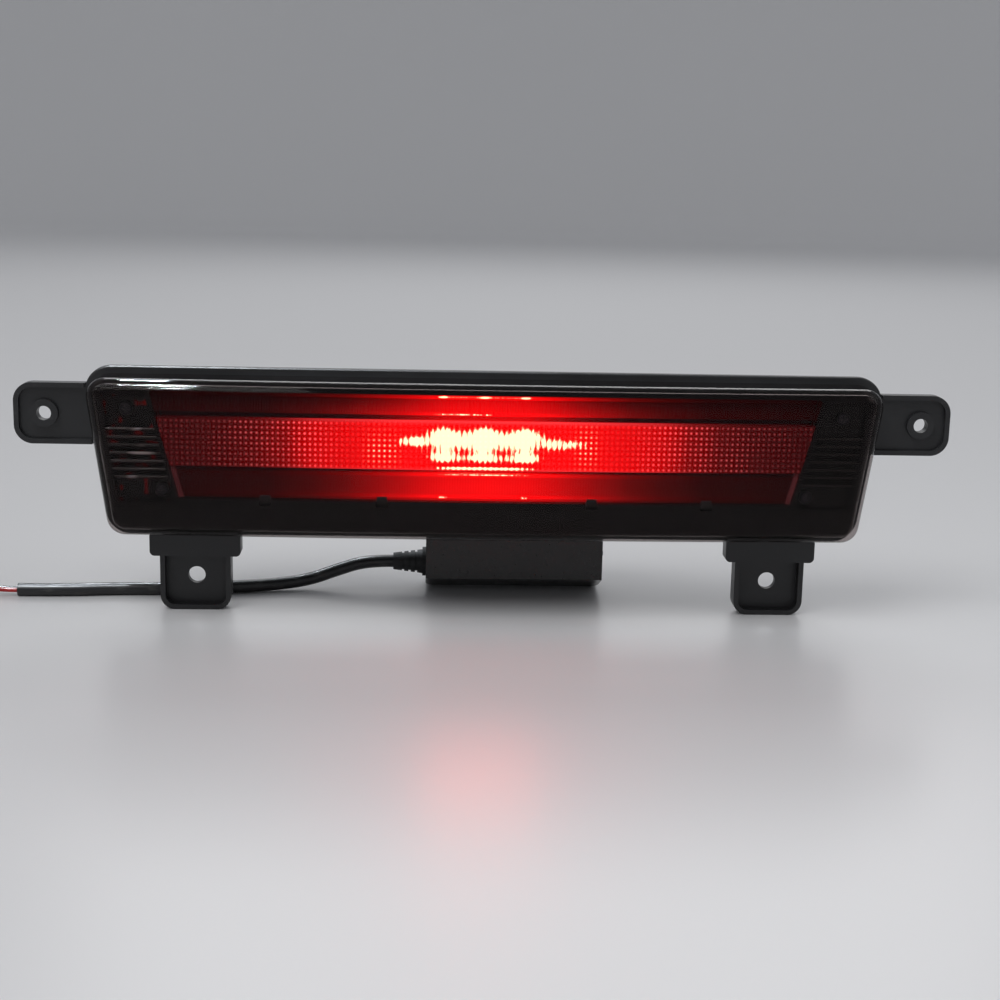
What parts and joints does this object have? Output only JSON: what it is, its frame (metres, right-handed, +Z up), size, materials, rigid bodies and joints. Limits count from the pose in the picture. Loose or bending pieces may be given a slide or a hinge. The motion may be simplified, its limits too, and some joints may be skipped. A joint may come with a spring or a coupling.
{
  "type": "third brake light",
  "caption": "Wide trapezoidal high-mounted stop lamp with a clear cover, red prism lens, side wings, two feet, a rear driver case and a plugged pigtail",
  "frame": {"origin": "on the floor under the middle of the lamp's bounding box, measured without the pigtail and its plug", "axes": "+Z up, +X along the lamp to the viewer's right when facing its lens, the light shines towards -Y"},
  "size_m": [0.4315, 0.07, 0.0993],
  "materials": {
    "housing_black": "moulded black ABS, fine grain",
    "cover_clear": "clear smoked polycarbonate, glossy",
    "bezel_black": "high-gloss black",
    "lens_red": "transparent red acrylic with pillow optics",
    "reflector_metal": "vacuum-metallised",
    "seal_rubber": "black EPDM",
    "seal_foam": "closed-cell foam",
    "screw_steel": "zinc-plated",
    "screw_black": "black zinc",
    "board_white": "white solder mask",
    "board_green": "green solder mask",
    "led_yellow": "clear dome over a red emitter, lit",
    "component_black": "epoxy, matt",
    "component_tin": "drawn can",
    "header_white": "natural nylon",
    "heat_aluminium": "extruded",
    "case_black": "moulded black, semi-gloss",
    "sheath_black": "black PVC sheath",
    "wire_red": "red PVC",
    "wire_black": "black PVC",
    "plug_grey": "glass-filled nylon",
    "lock_orange": "nylon",
    "seal_silicone": "silicone",
    "terminal_tin": "tinned bronze",
    "vent_white": "moulded cap"
  },
  "bodies": {
    "root": {"board_diode": "component_black", "board_header": "header_white", "board_resistors": "component_black", "board_screws": "screw_steel", "brake_led_centre": "led_yellow", "brake_led_left": "led_yellow", "brake_led_right": "led_yellow", "cable_grommet": "seal_rubber", "cable_tail": "sheath_black", "case_lid": "case_black", "case_screws": "screw_steel", "case_seal": "seal_rubber", "cover_seal": "seal_rubber", "driver_board": "board_green", "driver_capacitor": "component_tin", "driver_case": "case_black", "driver_chip": "component_black", "driver_inductor": "component_black", "driver_socket": "header_white", "driver_supports": "header_white", "front_bezel": "bezel_black", "heat_sink": "heat_aluminium", "inner_lead_negative": "wire_black", "inner_lead_positive": "wire_red", "lead_negative": "wire_black", "lead_positive": "wire_red", "led_board": "board_white", "lens_clips": "component_black", "lid_screws": "screw_steel", "mounting_gasket": "seal_foam", "optic_screws": "screw_black", "outer_cover": "cover_clear", "pigtail_cable": "sheath_black", "plug_body": "plug_grey", "plug_seals": "seal_silicone", "plug_terminals": "terminal_tin", "rear_housing": "housing_black", "red_lens": "lens_red", "reflector": "reflector_metal", "supply_lead_negative": "wire_black", "supply_lead_positive": "wire_red", "vent_plug": "vent_white", "wire_bush": "seal_rubber"},
    "latch": {"plug_latch": "plug_grey"},
    "lock": {"terminal_lock": "lock_orange"}
  },
  "joints": [
    {"name": "latch_press", "type": "hinge", "parent": "root", "child": "latch", "pos_m": [-0.238, 0, 0.011], "axis": [0, 1, 0], "range_deg": [0, 5.5], "stiffness_Nm_per_rad": 0.3},
    {"name": "lock_pull", "type": "slide", "parent": "root", "child": "lock", "axis": [0, -1, 0], "range_m": [0, 0.0025]}
  ]
}
